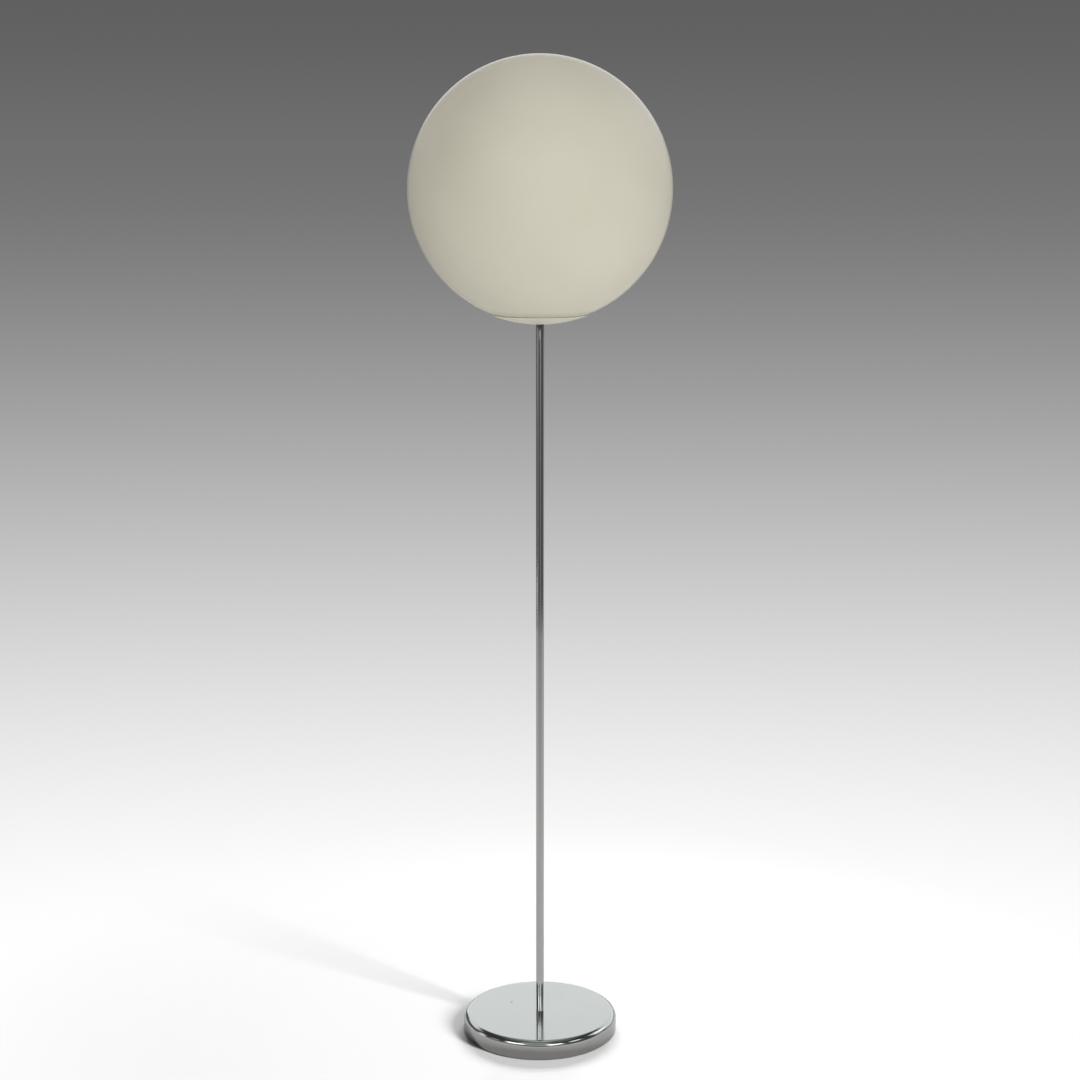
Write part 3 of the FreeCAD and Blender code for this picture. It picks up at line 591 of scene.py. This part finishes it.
def smooth(piece: bpy.types.Object, degrees: float = 35.0) -> None:
    """Shades a piece smooth, apart from edges sharper than an angle."""
    clear_selection()
    piece.select_set(True)
    bpy.context.view_layer.objects.active = piece
    bpy.ops.object.shade_smooth_by_angle(angle=math.radians(degrees))


def apply(piece: bpy.types.Object, kind: str, **settings: object) -> None:
    """Adds a modifier to a piece and applies it.

    Args:
        piece: the piece.
        kind: Blender's name of the modifier.
        settings: its properties.
    """
    clear_selection()
    piece.select_set(True)
    bpy.context.view_layer.objects.active = piece
    bpy.ops.object.modifier_add(type=kind)
    modifier = piece.modifiers[-1]
    for name, value in settings.items():
        setattr(modifier, name, value)
    bpy.ops.object.modifier_apply(modifier=modifier.name)


def dress(finish: Finish, *nodes: str) -> None:
    """Gives CAD nodes their finish, all from one material."""
    material = finish.material()
    for name in nodes:
        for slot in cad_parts[name].material_slots:
            slot.material = material
        log.info("dressed %s in %s", name, material.name)


def paint(piece: bpy.types.Object, finish: Finish) -> None:
    """Gives a new piece its finish."""
    piece.data.materials.clear()
    piece.data.materials.append(finish.material())


class Lathe:
    """Draws half a section on the XZ plane with a pen, and spins it about the upright axis."""

    def __init__(self, name: str, radius: float, height: float) -> None:
        """Starts the pen from a plane that is merged to one point.

        Args:
            name: the piece's name.
            radius: how far the first point is from the axis.
            height: how high it is.
        """
        clear_selection()
        bpy.ops.mesh.primitive_plane_add(size=MM, location=(0, 0, 0))
        self.piece = bpy.context.object
        self.piece.name = name
        self.piece.data.name = name
        bpy.ops.object.mode_set(mode="EDIT")
        bpy.ops.mesh.merge(type="CENTER")
        bpy.ops.transform.translate(value=(radius, 0, height))
        self.at = Vector((radius, height))

    def step(self, radius: float, height: float) -> dict[str, Place]:
        """Works out the pen's move to a point and keeps the point."""
        move = (radius - self.at.x, 0, height - self.at.y)
        self.at = Vector((radius, height))
        return {"value": move}

    def line(self, *points: tuple[float, float]) -> None:
        """Draws straight on through points of a radius and a height each."""
        for radius, height in points:
            bpy.ops.mesh.extrude_region_move(TRANSFORM_OT_translate=self.step(radius, height))

    def hop(self, radius: float, height: float) -> None:
        """Lifts the pen and sets it down at a point."""
        bpy.ops.mesh.duplicate_move(TRANSFORM_OT_translate=self.step(radius, height))

    def arc(self, radius: float, height: float, degrees: float, steps: int) -> None:
        """Draws an arc about a centre.

        Args:
            radius: the centre's distance from the upright axis.
            height: the centre's height.
            degrees: how far the arc goes, from outwards to upwards where it is above 0.
            steps: how many edges it has.
        """
        bpy.ops.mesh.spin(
            steps=steps, angle=math.radians(degrees), center=(radius, 0, height), axis=(0, 1, 0))
        centre = Vector((radius, height))
        self.at = centre + Matrix.Rotation(math.radians(degrees), 2) @ (self.at - centre)

    def turn(self, steps: int, sharp: float = 35.0) -> bpy.types.Object:
        """Spins what is drawn through a full turn.

        Args:
            steps: how many sides a full circle has.
            sharp: the angle over which an edge stays sharp, in degrees.

        Returns:
            The finished piece.
        """
        bpy.ops.mesh.select_all(action="SELECT")
        bpy.ops.mesh.spin(
            steps=steps, angle=2 * math.pi, center=(0, 0, 0), axis=(0, 0, 1), use_auto_merge=True)
        bpy.ops.mesh.select_all(action="SELECT")
        bpy.ops.mesh.remove_doubles(threshold=0.001 * MM)
        bpy.ops.mesh.normals_make_consistent(inside=False)
        bpy.ops.object.mode_set(mode="OBJECT")
        smooth(self.piece, sharp)
        return self.piece


# ---------------------------------------------------------------- the lamp


@dataclass
class Base:
    """The base's chromed cover."""

    radius: float = 125 * MM
    height: float = 31 * MM
    wall: float = 1.2 * MM
    shoulder: float = 9.7 * MM
    gap: float = 1 * MM
    hole: float = 5.25 * MM
    ease: float = 0.4 * MM
    lead_height: float = 10.5 * MM
    lead_hole: float = 5.6 * MM
    deck_rings: int = 8

    def make_shell(self) -> bpy.types.Object:
        """Spins the cover, with a rounded bottom edge, and drills the lead's hole."""
        inner = self.radius - self.wall
        bend = self.radius - self.shoulder
        turn = self.height - self.shoulder
        lip = self.wall / 2
        under = self.height - self.wall
        pen = Lathe("base_cover", self.radius, self.gap + lip)
        pen.line((self.radius, turn - self.ease), (self.radius, turn))
        pen.arc(bend, turn, 90, 28)
        pen.line((bend - self.ease, self.height))
        for part in range(self.deck_rings - 1, 0, -1):
            pen.line((self.hole + (bend - self.hole) * part / self.deck_rings, self.height))
        pen.line((self.hole + self.ease, self.height))
        pen.line((self.hole, self.height - self.ease), (self.hole, under))
        for part in range(1, self.deck_rings):
            pen.line((self.hole + (bend - self.hole) * part / self.deck_rings, under))
        pen.line((bend, under))
        pen.arc(bend, turn, -90, 20)
        pen.line((inner, self.gap + lip))
        pen.arc(self.radius - lip, self.gap + lip, 180, 10)
        shell = pen.turn(192)
        clear_selection()
        bpy.ops.mesh.primitive_cylinder_add(
            vertices=64, radius=self.lead_hole, depth=20 * MM,
            location=(0, self.radius, self.lead_height), rotation=(math.pi / 2, 0, 0))
        drill = bpy.context.object
        apply(shell, "BOOLEAN", object=drill, operation="DIFFERENCE", solver="EXACT")
        bpy.data.objects.remove(drill)
        smooth(shell)
        return shell

    def build(self) -> None:
        """Builds and dresses the cover."""
        shell = self.make_shell()
        paint(shell, BASE_CHROME)
        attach(shell, "stand")
        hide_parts("base_shell")
        log.info("base cover: %d faces", len(shell.data.polygons))


@dataclass
class Pole:
    """The straight chromed tube."""

    radius: float = 6.35 * MM
    wall: float = 1.25 * MM
    foot: float = 31 * MM
    top: float = 1163 * MM
    edge: float = 0.3 * MM
    rings: int = 40

    def build(self) -> None:
        """Spins the tube with eased ends, and dresses it."""
        inner = self.radius - self.wall
        pen = Lathe("pole", self.radius, self.foot + self.edge)
        for part in range(1, self.rings):
            pen.line((self.radius, self.foot + (self.top - self.foot) * part / self.rings))
        pen.line((self.radius, self.top - self.edge))
        pen.arc(self.radius - self.edge, self.top - self.edge, 90, 4)
        pen.line((inner, self.top), (inner, self.foot), (self.radius - self.edge, self.foot))
        pen.arc(self.radius - self.edge, self.foot + self.edge, 90, 4)
        tube = pen.turn(128)
        paint(tube, POLE_CHROME)
        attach(tube, "stand")
        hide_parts("pole_tube")
        log.info("pole: %d faces", len(tube.data.polygons))


@dataclass
class Head:
    """The dish on the pole, and the globe that rests in it."""

    centre: float = 1367.02206 * MM
    globe_radius: float = 203.2 * MM
    globe_wall: float = 3 * MM
    mouth: float = 63.5 * MM
    dish_inner: float = 203.5 * MM
    dish_outer: float = 205 * MM
    dish_flat: float = 20 * MM
    dish_rim: float = 75 * MM
    dish_hole: float = 5.25 * MM
    dish_foot: float = 1163 * MM

    def below(self, sphere: float, radius: float) -> float:
        """Gives the height of a point low on a sphere about the globe's centre."""
        return self.centre - math.sqrt(sphere ** 2 - radius ** 2)

    def make_globe(self) -> bpy.types.Object:
        """Spins the globe's shell, with its mouth's edges eased."""
        inner = self.globe_radius - self.globe_wall
        start = math.degrees(math.asin(self.mouth / self.globe_radius))
        end = math.degrees(math.asin(self.mouth / inner))
        pen = Lathe("globe_shell", self.mouth, self.below(self.globe_radius, self.mouth))
        pen.arc(0, self.centre, 180 - start, 110)
        pen.hop(0, self.centre + inner)
        pen.arc(0, self.centre, end - 180, 90)
        pen.line((self.mouth, self.below(self.globe_radius, self.mouth)))
        globe = pen.turn(180)
        apply(
            globe, "BEVEL", width=0.5 * MM, segments=3, limit_method="ANGLE",
            angle_limit=math.radians(35))
        smooth(globe)
        return globe

    def make_dish(self) -> bpy.types.Object:
        """Spins the dish, with a flat middle and a rim that is rolled a little outwards."""
        rim = math.degrees(math.asin(self.dish_rim / self.dish_outer))
        flat = math.degrees(math.asin(self.dish_flat / self.dish_outer))
        wall = self.dish_outer - self.dish_inner
        floor = self.dish_foot + wall
        floor_radius = math.sqrt(self.dish_inner ** 2 - (self.centre - floor) ** 2)
        floor_angle = math.degrees(math.asin(floor_radius / self.dish_inner))
        pen = Lathe("dish_bowl", self.dish_hole, self.dish_foot)
        pen.line((self.dish_flat - 1 * MM, self.dish_foot), (self.dish_flat, self.dish_foot))
        pen.arc(0, self.centre, rim - flat, 40)
        middle = (self.dish_outer + self.dish_inner) / 2
        lean = math.radians(rim)
        pen.arc(middle * math.sin(lean), self.centre - middle * math.cos(lean), 180, 10)
        pen.arc(0, self.centre, floor_angle - rim, 40)
        pen.line((self.dish_hole, floor), (self.dish_hole, self.dish_foot))
        return pen.turn(160)

    def build(self) -> None:
        """Builds and dresses the head."""
        globe = self.make_globe()
        paint(globe, OPAL)
        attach(globe, "globe")
        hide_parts("globe")
        dish = self.make_dish()
        paint(dish, CREAM)
        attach(dish, "stand")
        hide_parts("dish")
        log.info("globe: %d faces", len(globe.data.polygons))
        log.info("dish: %d faces", len(dish.data.polygons))


@dataclass
class Fittings:
    """Every CAD node that keeps its shape, by the finish that it gets."""

    nodes: tuple[tuple[Finish, tuple[str, ...]], ...] = (
        (PAD, ("base_pad",)),
        (IRON, ("base_weight",)),
        (BLACK, ("cord_bushing", "socket_body")),
        (ZINC, (
            "base_plate", "base_plate_screws", "lower_nipple", "base_flat_washer",
            "base_lock_washer", "base_locknut", "upper_nipple", "dish_washer",
            "dish_lock_washer", "dish_locknut")),
        (CREAM, ("locating_ring",)),
        (BRASS, (
            "socket_cap", "socket_set_screw", "terminal_screws", "screw_shell",
            "centre_contact", "socket_shell")),
        (CARD, ("socket_liner",)),
        (FROSTED, ("bulb_glass",)),
        (NICKEL, ("bulb_cap",)),
        (SOLDER, ("bulb_contact",)),
        (BLACK_GLASS, ("bulb_insulator",)),
        (CLEAR_GLASS, ("bulb_stem",)),
        (TUNGSTEN, ("bulb_filament",)),
    )

    def build(self) -> None:
        """Dresses the nodes."""
        for finish, names in self.nodes:
            dress(finish, *names)


# ---------------------------------------------------------------- the studio


@dataclass(frozen=True)
class Window:
    """A soft bright patch that bright metal sees, by azimuth and elevation in degrees."""

    left: float
    right: float
    low: float
    high: float
    level: float


@dataclass(frozen=True)
class Lamp:
    """A soft box that lights surfaces and isn't seen by bright metal."""

    name: str
    azimuth: float
    elevation: float
    distance: float
    height: float
    size: tuple[float, float]
    power: float
    floor_only: bool

    def place(self) -> tuple[Vector, Vector]:
        """Works out where the lamp hangs and the way that it faces away from."""
        a, e = math.radians(self.azimuth), math.radians(self.elevation)
        way = Vector((math.sin(a) * math.cos(e), -math.cos(a) * math.cos(e), math.sin(e)))
        return way * self.distance + Vector((0, 0, self.height)), way


@dataclass
class Studio:
    """A pale floor that runs into grey, soft lamps, and the camera."""

    camera_distance: float = 3.226
    camera_height: float = 1.451
    camera_dip: float = 11.04
    sensor: float = 36.0
    lens: float = 69.4

    ambient: float = 0.63
    mirror_dim: float = 0.045
    window_edges: tuple[float, float] = (4.0, 3.0)

    floor_reach: float = 400.0
    floor_drop: float = 0.3 * MM
    floor_colour: float = 0.1145
    floor_bounce: float = 0.095
    lit_edge: tuple[float, float] = (0.45, 1.1)
    mirror_loss: float = 0.3
    white_share: float = 0.155
    half_depth: float = 3.0
    horizon: float = 0.16

    screen_radius: float = 2.9
    screen_height: float = 1.25
    screen_ends: tuple[float, float] = (-155.0, 104.0)
    screen_steps: int = 72
    ramp_start: float = -160.0
    ramp_span: float = 280.0
    strips: tuple[tuple[float, float], ...] = (
        (-155, 0.14), (-102, 0.12), (-96, 0.7), (-90, 0.7), (-84, 0.1), (-56, 0.07), (-49, 0.3),
        (-34, 0.3), (-28, 0.12), (10, 0.12), (14, 0.42), (20, 0.42), (24, 0.2), (32, 0.2),
        (40, 0.1), (84, 0.08), (92, 0.25), (104, 0.5),
    )

    lamps: tuple[Lamp, ...] = (
        Lamp("front", 4, 9, 5.0, 1.2, (3.0, 2.2), 84, False),
        Lamp("key", 51.0, 34, 9.0, 0.3, (1.35, 4.2), 6600, True),
        Lamp("rim", 176, 36, 7.0, 0.1, (4.4, 2.0), 3200, True),
    )
    windows: tuple[Window, ...] = (
        Window(50, 70, 32, 42, 1.7),
        Window(96, 124, 23, 45, 1.3),
        Window(-38, 20, 43, 64, 0.38),
        Window(-53, -25, 14, 36, 3.2),
        Window(10, 35, 14, 36, 3.2),
        Window(-24, 6, 16, 33, 0.6),
    )

    def make_camera(self) -> None:
        """Stands the camera where the photograph was taken from."""
        clear_selection()
        bpy.ops.object.camera_add(
            location=(0, -self.camera_distance, self.camera_height),
            rotation=(math.radians(90 - self.camera_dip), 0, 0))
        camera = bpy.context.object
        camera.data.sensor_width = self.sensor
        camera.data.lens = self.lens
        camera.data.clip_end = 2 * self.floor_reach
        bpy.context.scene.camera = camera
        bpy.context.scene.view_settings.view_transform = "Standard"

    @staticmethod
    def grey(level: float) -> Colour:
        """Gives a neutral colour."""
        return (level, level, level)

    @staticmethod
    def azimuth(x: Wire, y: Wire) -> Wire:
        """Gives a direction's angle from the camera's side, in degrees, to the right above 0."""
        return x.math("ARCTAN2", x, y * -1.0) * (180 / math.pi)

    def far_level(self, x: Wire, y: Wire) -> Wire:
        """Works out how bright the floor looks away from the lamp.

        Args:
            x: how far to the right.
            y: how far behind the lamp.

        Returns:
            The level, from 1 near the lamp down to the horizon's.
        """
        depth = y * (1 + y.rise(0.0, -0.6) * 0.3)
        reach = (depth * depth + x * x * 0.25) ** 0.5
        near = (reach / (reach + self.half_depth) - self.white_share) / (1 - self.white_share)
        share = near.math("MAXIMUM", near, 0.0)
        return (1 - share ** 1.4) ** 1.66 * (1 - self.horizon) + self.horizon

    def fill_floor(self, r: Recipe) -> None:
        """Fills the floor's material: white about the lamp, running into grey far off."""
        x, y, _ = r.split(r.place())
        far = r.node(
            "ShaderNodeEmission", {}, {"Color": r.grey(self.far_level(x, y)), "Strength": 1.0})
        lit = r.node("ShaderNodeBsdfDiffuse", {}, {"Color": self.grey(self.floor_colour)})
        dark = r.node("ShaderNodeEmission", {}, {"Color": self.grey(0.0), "Strength": 0.0})
        seen = r.blend(((x * x + y * y) ** 0.5).rise(*self.lit_edge), lit, far)
        seen = r.blend(r.ray("Is Glossy Ray") * self.mirror_loss, seen, dark)
        plain = r.node("ShaderNodeBsdfDiffuse", {}, {"Color": self.grey(self.floor_bounce)})
        sight = r.ray("Is Camera Ray", "Is Glossy Ray", "Is Transmission Ray")
        behind = r.node("ShaderNodeNewGeometry", {}, {}, "Backfacing")
        through = r.node("ShaderNodeBsdfTransparent", {}, {})
        r.output(r.blend(behind, r.blend(sight, plain, seen), through))

    def make_floor(self) -> bpy.types.Collection:
        """Lays the floor just under the pad and gives the collection that holds it alone."""
        clear_selection()
        bpy.ops.mesh.primitive_circle_add(
            vertices=128, radius=self.floor_reach, fill_type="NGON",
            location=(0, 0, -self.floor_drop))
        floor = bpy.context.object
        floor.name = "studio_floor"
        material, recipe = new_material("studio_floor")
        self.fill_floor(recipe)
        floor.data.materials.append(material)
        lit = bpy.data.collections.new("studio_floor")
        lit.objects.link(floor)
        return lit

    def mirror_level(self, rise: Wire, side: Wire) -> Wire:
        """Works out what bright metal sees above the horizon.

        Args:
            rise: the elevation in degrees.
            side: the azimuth in degrees.

        Returns:
            The level: a white wall behind the lamp, a dim ceiling, and the windows.
        """
        away = side.math("ABSOLUTE", side)
        wall = rise.pulse(6.0, 40.0, 3.0) * (1 + rise.rise(24.6, 22.6) * 0.1)
        upper = rise.pulse(44.0, 76.0, 5.0) * away.rise(150.0, 165.0)
        ceiling = rise.rise(58.0, 70.0)
        level = self.mirror_dim + away.rise(105.0, 130.0) * (wall * 0.9 + upper * 0.4)
        level = level + ceiling * 0.12
        across, along = self.window_edges
        for window in self.windows:
            glow = side.pulse(window.left, window.right, across)
            level = level + glow * rise.pulse(window.low, window.high, along) * window.level
        return level

    def fill_world(self) -> None:
        """Fills the world: even light for surfaces, and a studio's soft boxes for bright metal."""
        world = bpy.data.worlds.new("studio")
        world.use_nodes = True
        bpy.context.scene.world = world
        r = Recipe(world.node_tree)
        x, y, z = r.split(r.node("ShaderNodeTexCoord", {}, {}, "Generated"))
        rise = z.math("ARCSINE", z) * (180 / math.pi)
        far = rise.rise(-2.0, 4.0) * -0.055 + 0.17
        above = rise.rise(2.0, 6.0)
        mirror = far * (1 - above) + self.mirror_level(rise, self.azimuth(x, y)) * above
        glossy = r.ray("Is Glossy Ray", "Is Transmission Ray")
        level = far * (1 - glossy) + mirror * glossy
        shown = r.node("ShaderNodeBackground", {}, {"Color": r.grey(level), "Strength": 1.0})
        even = r.node(
            "ShaderNodeBackground", {}, {"Color": self.grey(1.0), "Strength": self.ambient})
        sight = r.ray("Is Camera Ray", "Is Glossy Ray", "Is Transmission Ray")
        r.output(r.blend(sight, even, shown), "ShaderNodeOutputWorld")

    def hang(self, lamp: Lamp, floor: bpy.types.Collection) -> None:
        """Hangs one soft box.

        Args:
            lamp: the soft box.
            floor: the collection that a lamp for the floor alone lights.
        """
        place, way = lamp.place()
        clear_selection()
        bpy.ops.object.light_add(
            type="AREA", location=place, rotation=way.to_track_quat("Z", "Y").to_euler())
        made = bpy.context.object
        made.name = lamp.name
        made.data.shape = "RECTANGLE"
        made.data.size, made.data.size_y = lamp.size
        made.data.energy = lamp.power
        made.visible_glossy = False
        if lamp.floor_only:
            made.light_linking.receiver_collection = floor

    def fill_screen(self, r: Recipe) -> None:
        """Fills the screen's material: upright strips, and brighter parts high and low in them."""
        x, y, z = r.split(r.place())
        angle = self.azimuth(x, y)
        stops = [((a - self.ramp_start) / self.ramp_span, self.grey(v)) for a, v in self.strips]
        strips = r.ramp((angle - self.ramp_start) / self.ramp_span, stops)
        high = z.rise(0.5, 0.8) * (angle.pulse(-76, -62, 3) * 0.45 + angle.pulse(13, 21, 2) * 0.5)
        top = z.rise(0.92, 1.02) * angle.pulse(-24, 8, 4) * 0.45
        low = z.pulse(0.04, 0.16, 0.02) * angle.pulse(-98, -86, 2) * 2.0
        more = r.grey(high + top + low)
        total = r.node("ShaderNodeVectorMath", {"operation": "ADD"}, {0: strips, 1: more})
        r.output(r.node("ShaderNodeEmission", {}, {"Color": total, "Strength": 1.0}))

    def make_screen(self) -> None:
        """Stands a dim screen on the camera's side, which bright metal alone sees."""
        clear_selection()
        bpy.ops.mesh.primitive_plane_add(size=MM, location=(0, 0, 0))
        screen = bpy.context.object
        screen.name = "studio_screen"
        bpy.ops.object.mode_set(mode="EDIT")
        bpy.ops.mesh.merge(type="CENTER")
        first, last = (math.radians(degrees) for degrees in self.screen_ends)
        bpy.ops.transform.translate(
            value=(self.screen_radius * math.sin(first), -self.screen_radius * math.cos(first), 0))
        bpy.ops.mesh.extrude_region_move(
            TRANSFORM_OT_translate={"value": (0, 0, self.screen_height)})
        bpy.ops.mesh.select_all(action="SELECT")
        bpy.ops.mesh.spin(
            steps=self.screen_steps, angle=last - first, center=(0, 0, 0), axis=(0, 0, -1))
        bpy.ops.object.mode_set(mode="OBJECT")
        material, recipe = new_material("studio_screen")
        self.fill_screen(recipe)
        screen.data.materials.append(material)
        for sight in ("camera", "diffuse", "transmission", "shadow", "volume_scatter"):
            setattr(screen, f"visible_{sight}", False)

    def build(self) -> None:
        """Builds the studio."""
        self.make_camera()
        floor = self.make_floor()
        self.fill_world()
        self.make_screen()
        for lamp in self.lamps:
            self.hang(lamp, floor)
        log.info("studio: floor, world, screen, lamps and camera")


def main() -> None:
    """Builds the studio and the lamp, piece by piece."""
    logging.basicConfig(level=logging.INFO, format="%(message)s")
    for part in (Studio(), Base(), Pole(), Head(), Fittings()):
        part.build()
        log.info("built %s", type(part).__name__.lower())


if __name__ == "__main__":
    main()
